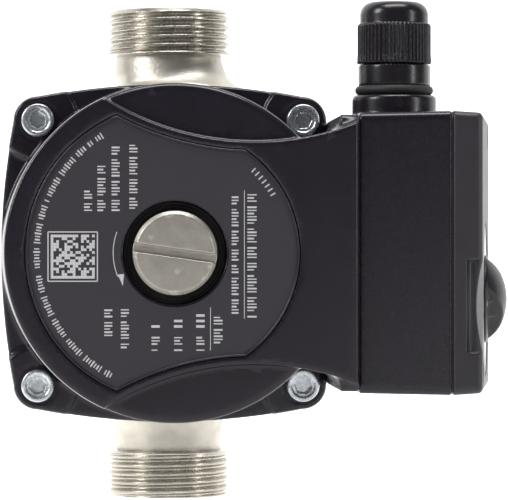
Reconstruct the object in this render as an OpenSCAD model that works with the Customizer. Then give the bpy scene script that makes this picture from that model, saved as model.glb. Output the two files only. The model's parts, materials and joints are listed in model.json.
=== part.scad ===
// Wet-rotor circulator pump with a side terminal box.
// +Z runs along the pipe, from the centre of the lower port's sealing face. -Y points out of
// the motor's front, and +X points to the terminal box. All sizes are in millimetres.

/* [Ports] */
// Distance between the two port faces
face_to_face = 130; // [130:1:150]
// Major diameter of the G1 port threads
thread_d = 33; // [32.8:0.05:33.2]
// Length of each port thread
thread_len = 12; // [11.5:0.5:13]
// Diameter of the water passage
port_bore_d = 21; // [18:0.5:22]
// Outside diameter of the port necks
neck_d = 27.4; // [27:0.1:28]

/* [Motor housing] */
// Half the width of the square motor flange at its middle
flange_half = 44.5; // [44:0.1:45.5]
// Distance of each flange screw from the motor axis, along X and along Z
screw_at = 34.8; // [34.6:0.1:35]
// Diameter of the motor drum at its front rim
drum_d = 84.6; // [84:0.1:86]
// Depth of the drum's front face in front of the port axis
drum_front = 77.5; // [77:0.5:78]
// How far the raised front stands in front of the drum's face
front_step = 2.5; // [2:0.1:3]
// Radius of the two arcs that bound the raised front
front_arc_r = 70; // [69:0.5:71]

/* [Vent plug] */
// Diameter of the vent plug's head
plug_d = 21; // [20:0.1:22]
// Diameter of the recess around the vent plug
plug_recess_d = 25.7; // [25:0.1:26.5]

/* [Terminal box] */
// Height of the terminal box
box_h = 71; // [70:0.5:72]
// Depth of the terminal box, front to back
box_depth = 56; // [55:0.5:57]
// Distance from the motor axis to the back of the terminal box
box_x = 46; // [45.8:0.1:46.5]
// Distance from the motor axis to the seam between the box and its cover
seam_x = 69.25; // [69:0.05:70]
// Wall thickness of the box and of the cover
box_wall = 2.2; // [2:0.1:2.6]
// Tilt of the cover's outer face
cover_tilt = 7.5; // [7:0.1:8]

/* [Speed knob] */
// Diameter of the speed knob
knob_d = 22.4; // [21.5:0.1:23]
// Height of the knob above the cover's outer face
knob_h = 5.4; // [5:0.1:6]
// Height of the knob's axis below the motor axis
knob_drop = 11.8; // [11:0.1:12.5]
// Diameter of the round recess for the speed dial
dial_d = 39.4; // [38:0.1:40]

/* [Cable gland] */
// Distance of the gland's axis from the motor axis
gland_x = 56.8; // [56.5:0.1:57]
// Diameter of the cap nut over its ribs
gland_nut_d = 19.2; // [19:0.1:19.4]
// Number of ribs round the cap nut
gland_ribs = 52; // [40:1:60]
// Diameter of the cable opening in the rubber insert
cable_bore_d = 7.5; // [7:0.1:8]

/* [Hidden] */
$fn = 96;
eps = 0.01;
over = 1;
axis_z = face_to_face / 2;

// port thread: closed ring grooves, each tilted a little so that they look like a helix
thread_pitch = 2.309;
thread_crest = 1.12;
thread_depth = 1.2;
first_groove = 3;
groove_lean = 0.44;
groove_count = 4;
neck_r = neck_d / 2;
inlet_duct_r = neck_r + 0.3;
outlet_duct_r = neck_r + 0.37;
bore_r = port_bore_d / 2;
duct_bore_r = bore_r - 0.5;
duct_swell = 0.25;
port_flare_z = 12;
port_flare_r = 30;
// the outlet leans from the port towards the volute's rim, the inlet leans back to the eye
outlet_lean = [13, -10, -26];
inlet_lean = [0, 15, 36];
inlet_turn_z = 15;

// wet end, as depths in front of the port axis
plenum_back = -27;
eye_back = 0;
chamber_back = 4.5;
recess_floor = 14.5;
body_face = 18;
body_flange_t = 9;
volute_r = 38.5;
chamber_r = 31.5;
plenum_r = 19;
plenum_wall = 4;
recess_r = 40.7;
gasket_in_r = 36.5;
gasket_t = 1.5;
plate_t = 1;
neck_ring_r = 17;
neck_ring_t = 3;
neck_gap = 0.4;
impeller_r = 26;
impeller_front = 15;
impeller_back = 5.2;
shroud_t = 1.6;
blade_count = 6;
blade_r = 21;
blade_t = 1.4;
hub_r = 8;

// shaft line
shaft_r = 5;
shaft_start = 6.5;
shaft_end = 71;
bearing_gap = 0.03;
bearing_r = 8;
bearing_front = 18.5;
bearing_len = 10;
thrust_start = 28.8;
thrust_t = 1.8;
collar_t = 1.2;
rotor_r = 22.7;
rotor_start = 32.6;
rotor_end = 65.2;
cage_ring_t = 3;
cage_bars = 18;
sleeve_t = 0.5;
can_r = 23.9;
can_t = 0.5;
can_end = 67;
nose_r = 12;
nose_end = 74.6;
bush_start = 71.6;
rear_bearing_len = 3.5;
plug_thread_r = 8;
plug_thread_gap = 0.05;
plug_seat = 76.2;
plug_face = 81;

// motor
flange_back = 18;
flange_t = 4.5;
lug_face = 21.5;
flange_corner_r = 6.3;
flange_bulge_r = 180;
drum_r = drum_d / 2;
drum_draft = 2.1;
drum_back = 19;
cavity_r = 38;
cavity_end = 73;
front_face = drum_front + front_step;
front_arc_x = 19.7;
front_arc_y = 97.7;
pad_x = 42.8;
pad_end = 45.6;
pad_back = 26;
front_fillet_r = 3.6;
plate_left_r = 36.7;
plate_right_r = 30.6;
plate_arc_r = front_arc_r + 2.5;
plate_recess = 0.9;
nameplate_t = 0.6;
stator_r = cavity_r;
stator_bore_r = 24.8;
stator_start = 31;
stator_end = 65;
stator_slots = 12;
slot_w = 6;
slot_in_r = 27;
slot_out_r = 33.5;
slot_mouth = 2;
insulator_t = 1.5;
end_turn_len = 6;
lead_depth = 69.5;
lead_z = 20;
lead_hole_r = 3.6;
lead_r = 0.9;
lead_bend_swell = 0.05;
screw_r = 2.5;
screw_gap = 0.25;
screw_head_r = 4.25;
screw_head_h = 5;
screw_len = 16;
hex_key = 4;

// terminal box
box_y = -(22 + box_depth / 2);
floor_x = box_x + 2.5;
base_end = seam_x - 0.25;
cover_start = seam_x + 0.25;
box_corner_r = 2;
seal_step = 1.1;
cover_front_x = 76.7;
cover_wall = 2;
cover_seat = cover_start + 2;
cover_screw_at = [[21, 30], [-21, -30]];
cover_screw_r = 1.6;
cover_hole_r = 1.8;
cover_head_r = 3;
post_r = 3.6;
box_screw_at = [[21, -27], [-22, 29.4]];
box_screw_r = 1.9;
box_hole_r = 2.2;
dish_r = 38.7;
dish_drop = 13.3;
dish_x = 74.7;
dish_tilt = 20;
groove_half = 11.5;
groove_x = 74.4;
groove_r = 1.6;
dial_recess = 0.6;
dial_label_t = 0.3;
// the knob and its switch, as heights along the tilted axis from the cover's outer face
knob_base = -0.25;
knob_dome_r = 15;
knob_cut = 5.2;
knob_cut_base = 0.8;
knob_turn = 47;
knob_hole_r = 5.5;
stem_r = 3.4;
stem_bottom = -4.5;
socket_r = 2.7;
drive_square = 3.6;
hub_bottom = -10.5;
switch_hub_r = 4;
switch_bore_r = 4.3;
switch_size = 22;
switch_depth = 14;
capacitor_size = [10, 35, 20];
capacitor_at = [-20.6, -8];
block_size = [26, 12, 13];
block_at = [0, 8];
pole_gap = 8;
clamp_r = 3;
clamp_screw_r = 1.5;
wire_way_h = 4.5;

// gland, as heights above the motor axis
boss_top = 40.4;
boss_r = 10.75;
gland_seal_top = 42.8;
gland_seal_r = 10;
collar_top = 48.1;
collar_r = 9.1;
seal_neck_r = 7.5;
gland_thread_r = 7.9;
gland_thread_top = 55;
claw_top = 59;
claw_r = 7;
claw_count = 8;
nut_bottom = 48.35;
nut_rib_top = 58.6;
nut_top = 64.3;
nut_gap = 0.08;
nut_mouth_r = 5.4;
nut_dome_r = 8.75;
insert_r = 5.6;
insert_bottom = 50;
slip_ring_t = 0.8;

// ---------------------------------------------------------------- frames and helpers

// X right, Y up and Z towards the viewer, from the motor axis, at a depth in front of the port axis
module at_motor(depth = 0) {
    translate([0, -depth, axis_z]) rotate([90, 0, 0]) children();
}

// X along +Y, Y up and Z along +X, from the terminal box's own centre line
module at_box(x = 0) {
    translate([x, box_y, axis_z]) rotate([90, 0, 90]) children();
}

// Z along the knob's tilted axis, from the cover's outer face
module at_knob(h = 0) {
    face_x = cover_front_x + box_depth / 2 * tan(cover_tilt);
    translate([face_x, box_y, axis_z - knob_drop]) rotate([0, 0, -cover_tilt]) {
        rotate([90, 0, 90]) translate([0, 0, h]) children();
    }
}

module at_gland(z = 0) {
    translate([gland_x, box_y, axis_z + z]) children();
}

module tube(r_out, r_in, h) {
    difference() {
        cylinder(r = r_out, h = h);
        translate([0, 0, -over]) cylinder(r = r_in, h = h + 2 * over);
    }
}

// a straight round rod between two points
module rod(from, to, r) {
    d = to - from;
    translate(from) rotate([0, acos(d.z / norm(d)), atan2(d.y, d.x)]) cylinder(r = r, h = norm(d));
}

// a wire or duct that turns at each point of its route, with a ball at each turn
module route(points, r, swell = 0) {
    for (i = [0 : len(points) - 2]) rod(points[i], points[i + 1], r);
    for (i = [1 : 1 : len(points) - 2]) translate(points[i]) sphere(r = r + swell);
}

module rounded_rect(w, h, r) {
    square([w - 2 * r, h], center = true);
    square([w, h - 2 * r], center = true);
    for (sx = [-1, 1], sy = [-1, 1]) {
        translate([sx * (w / 2 - r), sy * (h / 2 - r)]) circle(r = r, $fn = 32);
    }
}

// the cross recess in the top of a screw head
module cross_slot(top, len, width) {
    for (a = [0, 90]) translate([0, 0, top]) rotate(a) cube([len, width, 2.4], center = true);
}

module at_points(points) {
    for (p = points) translate([p.x, p.y, 0]) children();
}

module at_flange_screws() {
    for (sx = [-1, 1], sy = [-1, 1]) translate([sx * screw_at, sy * screw_at, 0]) children();
}

// the square flange: four bulged sides and a round corner about each screw
module flange_outline(inset = 0) {
    corner = 2 * screw_at + flange_corner_r - inset;
    intersection_for(i = [0 : 3]) {
        intersection() {
            rotate(90 * i) translate([0, flange_half - inset - flange_bulge_r]) {
                circle(r = flange_bulge_r, $fn = 200);
            }
            rotate(45) square(corner * sqrt(2), center = true);
        }
    }
    at_flange_screws() circle(r = flange_corner_r - inset);
}

module both_arcs(r) {
    for (s = [-1, 1]) translate([front_arc_x, s * front_arc_y]) circle(r = r, $fn = 200);
}

// the waist between the two big arcs, from the motor axis out to the terminal-box pad
module waist_outline() {
    difference() {
        translate([0, -box_h / 2 + 1]) square([pad_x, box_h - 2]);
        both_arcs(front_arc_r);
    }
    for (s = [-1, 1]) {
        difference() {
            translate([pad_x - front_fillet_r, s * (box_h / 2 - 1) - front_fillet_r]) {
                square([front_fillet_r, 2 * front_fillet_r]);
            }
            translate([pad_x - front_fillet_r, s * (box_h / 2 - 1)]) circle(r = front_fillet_r);
            translate([pad_x - 2 * front_fillet_r, s * (box_h / 2 - 1)]) {
                translate([0, s > 0 ? 0 : -2 * front_fillet_r]) square(2 * front_fillet_r);
            }
        }
    }
}

module nameplate_outline(grow = 0) {
    difference() {
        intersection() {
            union() {
                circle(r = plate_right_r + grow);
                intersection() {
                    circle(r = plate_left_r + grow);
                    translate([-2 * plate_left_r, -plate_left_r * 2]) {
                        square([2 * plate_left_r, 4 * plate_left_r]);
                    }
                }
            }
            square(4 * plate_left_r, center = true);
        }
        both_arcs(plate_arc_r - grow);
    }
}

// ---------------------------------------------------------------- wet end

// the port's outside, from its sealing face at z = 0 upward
module port_outside() {
    chamfer = 1;
    cylinder(r1 = thread_d / 2 - chamfer, r2 = thread_d / 2, h = chamfer);
    translate([0, 0, chamfer]) cylinder(r = thread_d / 2, h = thread_len - chamfer);
    translate([0, 0, thread_len - eps]) cylinder(r = neck_r, h = 10);
}

module thread_grooves() {
    half_w = (thread_pitch - thread_crest) / 2;
    lean = atan(groove_lean / (thread_d / 2));
    for (i = [0 : groove_count - 1]) {
        translate([0, 0, first_groove + i * thread_pitch]) rotate([0, -lean, 0]) {
            rotate_extrude() polygon([
                [thread_d / 2 - thread_depth, -0.15],
                [thread_d / 2 - thread_depth, 0.15],
                [thread_d / 2 + over, half_w + over * 0.5],
                [thread_d / 2 + over, -half_w - over * 0.5]
            ]);
        }
    }
}

module neck_flare(r_end) {
    rotate_extrude() difference() {
        square([r_end, port_flare_z]);
        translate([neck_r + port_flare_r, 0]) circle(r = port_flare_r);
    }
}

module pump_body() {
    outlet_turn = [0, 0, face_to_face - 12.5];
    inlet_turn = [0, 0, inlet_turn_z];
    plenum_h = eye_back - plenum_back - plenum_wall;
    color("#b7b1a0") difference() {
        union() {
            port_outside();
            translate([0, 0, face_to_face]) mirror([0, 0, 1]) port_outside();
            translate([0, 0, thread_len]) neck_flare(neck_r + 3);
            rod(outlet_turn + [0, 0, 0.6], outlet_turn + outlet_lean, outlet_duct_r);
            rod(inlet_turn, inlet_turn + inlet_lean, inlet_duct_r);
            at_motor(eye_back - 2) cylinder(r = volute_r, h = body_face - eye_back + 2);
            at_motor(plenum_back) rotate_extrude() {
                square([plenum_r, plenum_h + plenum_wall]);
                translate([0, plenum_wall]) square([plenum_r + plenum_wall, plenum_h]);
                translate([plenum_r, plenum_wall]) circle(r = plenum_wall);
            }
            at_motor(body_face - body_flange_t) linear_extrude(body_flange_t) flange_outline(0.8);
        }
        thread_grooves();
        translate([0, 0, face_to_face]) mirror([0, 0, 1]) thread_grooves();
        translate([0, 0, -over]) cylinder(r = bore_r, h = inlet_turn_z + over);
        route([[0, 0, inlet_turn_z - 2], inlet_turn, inlet_turn + inlet_lean], duct_bore_r, duct_swell);
        translate(outlet_turn + [0, 0, 1]) cylinder(r = bore_r, h = 20);
        route([outlet_turn + [0, 0, 2], outlet_turn, outlet_turn + outlet_lean], duct_bore_r, duct_swell);
        at_motor(plenum_back + plenum_wall) cylinder(r = plenum_r, h = plenum_h);
        at_motor(eye_back - over) cylinder(r = neck_ring_r, h = 8);
        at_motor(chamber_back) cylinder(r = chamber_r, h = body_face);
        at_motor(recess_floor) cylinder(r = recess_r, h = body_face);
        at_motor(body_face - 8) at_flange_screws() cylinder(r = screw_r, h = 9);
        at_motor(body_face) linear_extrude(20) square(3 * flange_half, center = true);
    }
}

module neck_ring() {
    color("silver") at_motor(eye_back) tube(neck_ring_r, neck_ring_r - neck_ring_t, chamber_back);
}

module body_gasket() {
    color("#3a3a3a") at_motor(recess_floor) tube(recess_r - 0.2, gasket_in_r, gasket_t);
}

module blade(h) {
    start = hub_r + 2;
    linear_extrude(h) intersection() {
        difference() {
            translate([start, blade_r]) circle(r = blade_r);
            translate([start, blade_r]) circle(r = blade_r - blade_t);
            translate([-4 * blade_r, -blade_r]) square([4 * blade_r + start, 6 * blade_r]);
        }
        difference() {
            circle(r = impeller_r - 0.5);
            circle(r = start);
        }
    }
}

module impeller() {
    collar_out = neck_ring_r - neck_ring_t - neck_gap;
    color("#8f8a78") at_motor() difference() {
        union() {
            translate([0, 0, impeller_front - shroud_t]) cylinder(r = impeller_r, h = shroud_t);
            translate([0, 0, impeller_back]) tube(impeller_r, collar_out - 1.6, shroud_t);
            translate([0, 0, 1]) tube(collar_out, collar_out - 1.6, impeller_back);
            translate([0, 0, impeller_back + shroud_t]) cylinder(r = hub_r, h = 9.6);
            translate([0, 0, impeller_back + shroud_t - 0.1]) {
                for (i = [0 : blade_count - 1]) rotate(i * 360 / blade_count) blade(7);
            }
        }
        translate([0, 0, impeller_back]) cylinder(r = shaft_r, h = 20);
    }
}

module bearing_plate() {
    rim = recess_floor + gasket_t;
    hub_out = bearing_r + plate_t;
    color("#c9c9c6") at_motor(rim) rotate_extrude() {
        translate([20, 0]) square([recess_r - 20.2, plate_t]);
        translate([20, 0]) square([plate_t, 3.5]);
        translate([hub_out - plate_t, 2.5]) square([21 - hub_out + plate_t, plate_t]);
        translate([bearing_r, 2.5]) square([plate_t, bearing_len]);
    }
}

module bush(h) {
    tube(bearing_r, shaft_r + bearing_gap, h);
}

module front_bearing() {
    color("#4a4a4c") at_motor(bearing_front) bush(bearing_len);
}

module thrust_bearing() {
    color("#3c3c3e") at_motor(thrust_start) tube(bearing_r + 0.8, shaft_r, thrust_t);
}

module thrust_collar() {
    color("#2c2c2c") at_motor(thrust_start + thrust_t) tube(bearing_r + 0.8, shaft_r, collar_t);
}

module shaft() {
    slot = [12, 1.6, 3];
    edge = 0.6;
    len = shaft_end - shaft_start;
    color("#e6e4dc") at_motor() difference() {
        union() {
            translate([0, 0, shaft_start]) cylinder(r1 = shaft_r - edge, r2 = shaft_r, h = edge);
            translate([0, 0, shaft_start + edge]) cylinder(r = shaft_r, h = len - 2 * edge);
            translate([0, 0, shaft_end - edge]) cylinder(r1 = shaft_r, r2 = shaft_r - edge, h = edge);
        }
        translate([-slot.x / 2, -slot.y / 2, shaft_end - slot.z / 2]) cube(slot);
    }
}

module cage_bar_holes(r) {
    for (i = [0 : cage_bars - 1]) rotate(i * 360 / cage_bars) translate([rotor_r - 3.2, 0]) {
        circle(r = r, $fn = 24);
    }
}

module rotor_core() {
    core_len = rotor_end - rotor_start - 2 * cage_ring_t;
    color("#8d9197") at_motor(rotor_start + cage_ring_t) linear_extrude(core_len) difference() {
        circle(r = rotor_r);
        circle(r = shaft_r);
        cage_bar_holes(1.6);
    }
}

module rotor_cage() {
    len = rotor_end - rotor_start;
    color("#c4c6c9") at_motor(rotor_start) {
        for (z = [0, len - cage_ring_t]) translate([0, 0, z]) tube(rotor_r, 13, cage_ring_t);
        linear_extrude(len) cage_bar_holes(1.6);
    }
}

module rotor_sleeve() {
    cap = 0.8;
    len = rotor_end - rotor_start;
    color("#cfd1d3") at_motor(rotor_start - cap) {
        translate([0, 0, cap]) tube(rotor_r + sleeve_t, rotor_r, len);
        for (z = [0, len + cap]) translate([0, 0, z]) tube(rotor_r + sleeve_t, shaft_r, cap);
    }
}

module rear_bearing() {
    color("#4a4a4c") at_motor(can_end + can_t) bush(rear_bearing_len);
}

module rear_bearing_holder() {
    color("#77776f") at_motor(can_end + can_t) tube(nose_r, bearing_r, rear_bearing_len);
}

module rotor_can() {
    rim = body_face - plate_t;
    color("#d3d4d3") at_motor() rotate_extrude() {
        translate([can_r, rim]) square([recess_r - can_r - 0.2, plate_t]);
        translate([can_r, rim]) square([can_t, can_end + can_t - rim]);
        translate([nose_r, can_end]) square([can_r + can_t - nose_r, can_t]);
        translate([nose_r, can_end]) square([can_t, nose_end - can_end]);
    }
}

module vent_bush() {
    color("#b9985a") at_motor(bush_start) tube(nose_r, plug_thread_r, nose_end - bush_start);
}

module vent_plug() {
    slot_w = 2.2;
    slot_d = 1.6;
    edge = 0.7;
    plug_r = plug_d / 2;
    shank_r = plug_thread_r - plug_thread_gap;
    color("#b5ad97") at_motor() difference() {
        union() {
            translate([0, 0, plug_seat]) cylinder(r = plug_r, h = plug_face - plug_seat - edge);
            translate([0, 0, plug_face - edge]) cylinder(r1 = plug_r, r2 = plug_r - edge, h = edge);
            translate([0, 0, bush_start + 0.6]) cylinder(r = shank_r, h = plug_seat - bush_start);
        }
        translate([0, 0, plug_face]) rotate(-8) cube([2 * plug_d, slot_w, 2 * slot_d], center = true);
        translate([0, 0, bush_start - over]) cylinder(r = shank_r - 2.5, h = 3.4 + over);
    }
}

module vent_plug_seal() {
    color("#262626") at_motor((nose_end + plug_seat) / 2) rotate_extrude() {
        translate([plug_thread_r + 1.4, 0]) circle(r = (plug_seat - nose_end) / 2, $fn = 32);
    }
}

// ---------------------------------------------------------------- motor

module at_slots() {
    for (i = [0 : stator_slots - 1]) rotate(i * 360 / stator_slots) children();
}

module slot_outline(inset = 0) {
    translate([slot_in_r + inset, -slot_w / 2 + inset]) {
        square([slot_out_r - slot_in_r - 2 * inset, slot_w - 2 * inset]);
    }
}

module stator_core() {
    color("#7d8187") at_motor(stator_start) linear_extrude(stator_end - stator_start) difference() {
        circle(r = stator_r);
        circle(r = stator_bore_r);
        at_slots() slot_outline();
        at_slots() translate([stator_bore_r - over, -slot_mouth / 2]) {
            square([slot_in_r - stator_bore_r + 2 * over, slot_mouth]);
        }
    }
}

module stator_insulators() {
    color("#e9e2cf") at_motor() for (z = [stator_start - insulator_t, stator_end]) {
        translate([0, 0, z]) linear_extrude(insulator_t) difference() {
            circle(r = stator_r - 1.5);
            circle(r = stator_bore_r + 0.5);
            at_slots() slot_outline();
        }
    }
}

module end_turns() {
    mid = (slot_in_r + slot_out_r) / 2;
    half = (slot_out_r - slot_in_r) / 2;
    rotate_extrude() {
        translate([mid - half + 1, 0]) square([2 * half - 2, end_turn_len]);
        translate([mid - half, 1]) square([2 * half, end_turn_len - 2]);
        for (sx = [-1, 1], y = [1, end_turn_len - 1]) {
            translate([mid + sx * (half - 1), y]) circle(r = 1, $fn = 24);
        }
    }
}

module stator_windings() {
    reach = insulator_t + 1;
    color("#b0642f") at_motor() {
        translate([0, 0, stator_start - insulator_t - end_turn_len]) end_turns();
        translate([0, 0, stator_end + insulator_t]) end_turns();
        translate([0, 0, stator_start - reach]) {
            linear_extrude(stator_end - stator_start + 2 * reach) at_slots() slot_outline(0.3);
        }
    }
}

// three leads from the windings to the side of the terminal block
module stator_leads() {
    start_x = 25.75;
    turn_x = 55;
    drop_y = -64.4;
    end_y = box_y - block_size.x / 2;
    for (i = [-1 : 1]) {
        x = turn_x + 2 * i;
        y = -lead_depth - 2 * i;
        end_z = axis_z + block_at.y + 3 * i;
        color(["#2b2b2b", "#274f9c", "#6b4526"][i + 1]) route([
            [start_x, y, axis_z + lead_z],
            [x, y, axis_z + lead_z],
            [x, drop_y, axis_z + lead_z],
            [x, drop_y, end_z],
            [x, end_y, end_z]
        ], lead_r, lead_bend_swell);
    }
}

module motor_housing() {
    neck_h = front_face - pad_back;
    color("#26222c") difference() {
        union() {
            at_motor(flange_back) linear_extrude(flange_t - 1) flange_outline();
            at_motor(flange_back) linear_extrude(flange_t) intersection() {
                flange_outline(0.6);
                circle(r = screw_at * sqrt(2) - 4);
            }
            at_motor(drum_back) {
                cylinder(r1 = drum_r + drum_draft, r2 = drum_r, h = drum_front - drum_back);
            }
            at_motor(drum_front - eps) linear_extrude(front_step) intersection() {
                circle(r = drum_r);
                difference() {
                    circle(r = 2 * drum_r);
                    both_arcs(front_arc_r);
                }
            }
            at_motor(pad_back) linear_extrude(neck_h) waist_outline();
            at_box(pad_x - 1) linear_extrude(pad_end - pad_x + 1) {
                rounded_rect(box_depth - 1, box_h - 2, box_corner_r);
            }
        }
        at_motor(flange_back - over) cylinder(r = cavity_r, h = cavity_end - flange_back + over);
        at_motor(cavity_end - over) cylinder(r = plug_recess_d / 2, h = front_face);
        at_motor(front_face - plate_recess) linear_extrude(2) nameplate_outline(0.4);
        at_motor(flange_back - over) at_flange_screws() cylinder(r = screw_r + screw_gap, h = 8);
        at_motor(lug_face) at_flange_screws() cylinder(r = screw_head_r + 0.9, h = 9);
        lead_passage(cavity_r - 14, pad_end + over);
        at_box(pad_end - 8) at_points(box_screw_at) cylinder(r = box_screw_r, h = 9);
    }
}

// the hole that takes the winding's leads into the terminal box
module lead_passage(from_x, to_x) {
    translate([from_x, -lead_depth, axis_z + lead_z]) rotate([0, 90, 0]) {
        cylinder(r = lead_hole_r, h = to_x - from_x);
    }
}

module nameplate() {
    color("#46434b") at_motor(front_face - plate_recess) linear_extrude(nameplate_t) difference() {
        nameplate_outline();
        circle(r = plug_recess_d / 2 + 0.6);
    }
}

module flange_screws() {
    edge = 0.5;
    shank = screw_len - 5;
    color("#cdd3d8") at_motor(lug_face) at_flange_screws() difference() {
        union() {
            cylinder(r = screw_head_r, h = screw_head_h - edge);
            translate([0, 0, screw_head_h - edge]) {
                cylinder(r1 = screw_head_r, r2 = screw_head_r - edge, h = edge);
            }
            translate([0, 0, -shank]) cylinder(r = screw_r, h = shank);
        }
        translate([0, 0, screw_head_h - 2.6]) cylinder(r = hex_key / 2 / cos(30), h = 3, $fn = 6);
    }
}

// ---------------------------------------------------------------- terminal box

module box_gasket() {
    color("#151515") difference() {
        at_box(pad_end) linear_extrude(box_x - pad_end) difference() {
            rounded_rect(box_depth - 2, box_h - 3, box_corner_r);
            at_points(box_screw_at) circle(r = box_hole_r);
            translate([-5, -8]) square([22, 34], center = true);
        }
        lead_passage(pad_end - over, box_x + over);
    }
}

module terminal_box() {
    inner_d = box_depth - 2 * box_wall;
    inner_h = box_h - 2 * box_wall;
    color("#221f27") difference() {
        union() {
            difference() {
                union() {
                    at_box(box_x) linear_extrude(base_end - box_x) {
                        rounded_rect(box_depth, box_h, box_corner_r);
                    }
                    at_gland(box_h / 2 - 1) cylinder(r = boss_r, h = boss_top - box_h / 2 + 1);
                }
                at_box(floor_x) linear_extrude(base_end) rounded_rect(inner_d, inner_h, 1);
            }
            at_box(box_x + 1) at_points(cover_screw_at) cylinder(r = post_r, h = base_end - box_x - 1);
        }
        at_gland(box_h / 2 - box_wall - over) cylinder(r = gland_thread_r, h = 20);
        at_box(base_end - 14) at_points(cover_screw_at) cylinder(r = cover_screw_r + 0.05, h = 15);
        at_box(box_x - over) at_points(box_screw_at) cylinder(r = box_hole_r, h = 9);
        lead_passage(box_x - over, box_x + 5);
    }
}

module box_screws() {
    head_r = 3.6;
    head_h = 2.4;
    color("#cdd3d8") at_box(floor_x) at_points(box_screw_at) difference() {
        union() {
            cylinder(r = head_r, h = head_h);
            translate([0, 0, -8]) cylinder(r = box_screw_r, h = 8.1);
        }
        cross_slot(head_h, 4.4, 0.9);
    }
}

module cover_seal() {
    color("#121212") at_box(base_end) linear_extrude(cover_start - base_end) difference() {
        rounded_rect(box_depth - seal_step, box_h - seal_step, box_corner_r);
        rounded_rect(box_depth - 2 * box_wall, box_h - 2 * box_wall, 1);
    }
}

// everything behind the tilted outer plane, moved in along X by inset
module behind_tilt(inset = 0) {
    translate([cover_front_x - inset, box_y - box_depth / 2, 0]) rotate([0, 0, -cover_tilt]) {
        translate([-60, -20, -20]) cube([60, box_depth + 60, face_to_face + 40]);
    }
}

// the shallow dish that lets a finger reach the knob from the cover's front edge
module finger_dish(inset = 0) {
    translate([dish_x - inset, box_y - box_depth / 2, axis_z - dish_drop]) rotate([90, 0, -dish_tilt]) {
        translate([dish_r, 0, -box_depth / 2]) cylinder(r = dish_r, h = box_depth, $fn = 180);
    }
}

module terminal_cover() {
    inner_d = box_depth - 2 * cover_wall;
    inner_h = box_h - 2 * cover_wall;
    front_y = box_y - box_depth / 2;
    color("#242129") difference() {
        intersection() {
            at_box(cover_start) linear_extrude(30) rounded_rect(box_depth, box_h, box_corner_r);
            behind_tilt();
        }
        difference() {
            intersection() {
                at_box(cover_start - over) linear_extrude(30) rounded_rect(inner_d, inner_h, 1);
                behind_tilt(cover_wall);
            }
            at_box(cover_start - 2 * over) at_points(cover_screw_at) cylinder(r = post_r + 1, h = 30);
            finger_dish(cover_wall);
        }
        finger_dish();
        translate([groove_x, front_y, axis_z - dish_drop - groove_half]) {
            cylinder(r = groove_r, h = 2 * groove_half);
        }
        at_box(cover_start - over) at_points(cover_screw_at) cylinder(r = cover_hole_r, h = 30);
        at_box(cover_seat) at_points(cover_screw_at) cylinder(r = cover_head_r + 0.3, h = 30);
        at_knob(-10) cylinder(r = knob_hole_r, h = 20);
        at_knob(-dial_recess) cylinder(r = dial_d / 2, h = 5);
    }
}

module cover_screws() {
    head_h = 3;
    color("#cdd3d8") at_box(cover_seat) at_points(cover_screw_at) difference() {
        union() {
            cylinder(r = cover_head_r, h = head_h);
            translate([0, 0, -14]) cylinder(r = cover_screw_r, h = 14.1);
        }
        cross_slot(head_h, 3.8, 0.8);
    }
}

module dial_label() {
    color("#b9bbbf") at_knob(-dial_recess) tube(dial_d / 2 - 0.3, knob_hole_r + 0.3, dial_label_t);
}

// a domed cap with both sides cut away to a grip bar, and a stem down to the switch
module speed_knob() {
    color("#1f1d24") {
        difference() {
            intersection() {
                at_knob(knob_h - knob_dome_r) sphere(r = knob_dome_r);
                at_knob(knob_base) cylinder(r = knob_d / 2, h = knob_h + over);
            }
            for (side = [0, 180]) at_knob(knob_base + knob_cut_base) rotate(knob_turn + side) {
                translate([knob_cut, -knob_d, 0]) cube([knob_d, 2 * knob_d, knob_d]);
            }
        }
        difference() {
            at_knob(stem_bottom) cylinder(r = stem_r, h = knob_base - stem_bottom + 0.5);
            at_knob(stem_bottom - over) cylinder(r = socket_r, h = 4 + over);
        }
    }
}

// the switch hangs from the inside of the cover, square to the tilted face
module speed_switch() {
    front = -cover_wall * cos(cover_tilt);
    color("#e4e0d4") difference() {
        at_knob(front - switch_depth) linear_extrude(switch_depth) {
            rounded_rect(switch_size, switch_size, 1);
        }
        at_knob(hub_bottom - 0.2) cylinder(r = switch_bore_r, h = 20);
    }
}

module switch_rotor() {
    color("#f2efe8") {
        at_knob(hub_bottom) cylinder(r = switch_hub_r, h = stem_bottom - 0.2 - hub_bottom);
        at_knob(stem_bottom - 1) linear_extrude(4.7) square(drive_square, center = true);
    }
}

module capacitor() {
    color("#c9c4b6") at_box(floor_x) at_points([capacitor_at]) {
        linear_extrude(capacitor_size.z) rounded_rect(capacitor_size.x, capacitor_size.y, 1.5);
    }
}

module at_poles() {
    for (i = [-1 : 1]) translate([i * pole_gap, 0, 0]) children();
}

module at_block() {
    at_box(floor_x) translate([block_at.x, block_at.y, 0]) children();
}

// three wire ways run up through the block, and a screw comes down on each
module terminal_block() {
    color("#dcd8cc") at_block() difference() {
        linear_extrude(block_size.z) square([block_size.x, block_size.y], center = true);
        at_wire_ways(block_size.y + 2) circle(r = clamp_r);
        at_poles() translate([0, 0, wire_way_h]) cylinder(r = clamp_screw_r + 0.6, h = block_size.z);
    }
}

module at_wire_ways(len) {
    at_poles() translate([0, len / 2, wire_way_h]) rotate([90, 0, 0]) linear_extrude(len) children();
}

module terminal_clamps() {
    color("#c8a24c") at_block() difference() {
        at_wire_ways(block_size.y - 3) circle(r = clamp_r);
        at_wire_ways(block_size.y) circle(r = clamp_r - 1.2);
        at_poles() translate([0, 0, wire_way_h]) cylinder(r = clamp_screw_r, h = block_size.z);
    }
}

module terminal_screws() {
    top = block_size.z - 1.5;
    color("#cdd3d8") at_block() at_poles() difference() {
        translate([0, 0, wire_way_h + 1.5]) cylinder(r = clamp_screw_r, h = top - wire_way_h - 1.5);
        translate([0, 0, top]) cube([4, 0.7, 1.4], center = true);
    }
}

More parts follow.
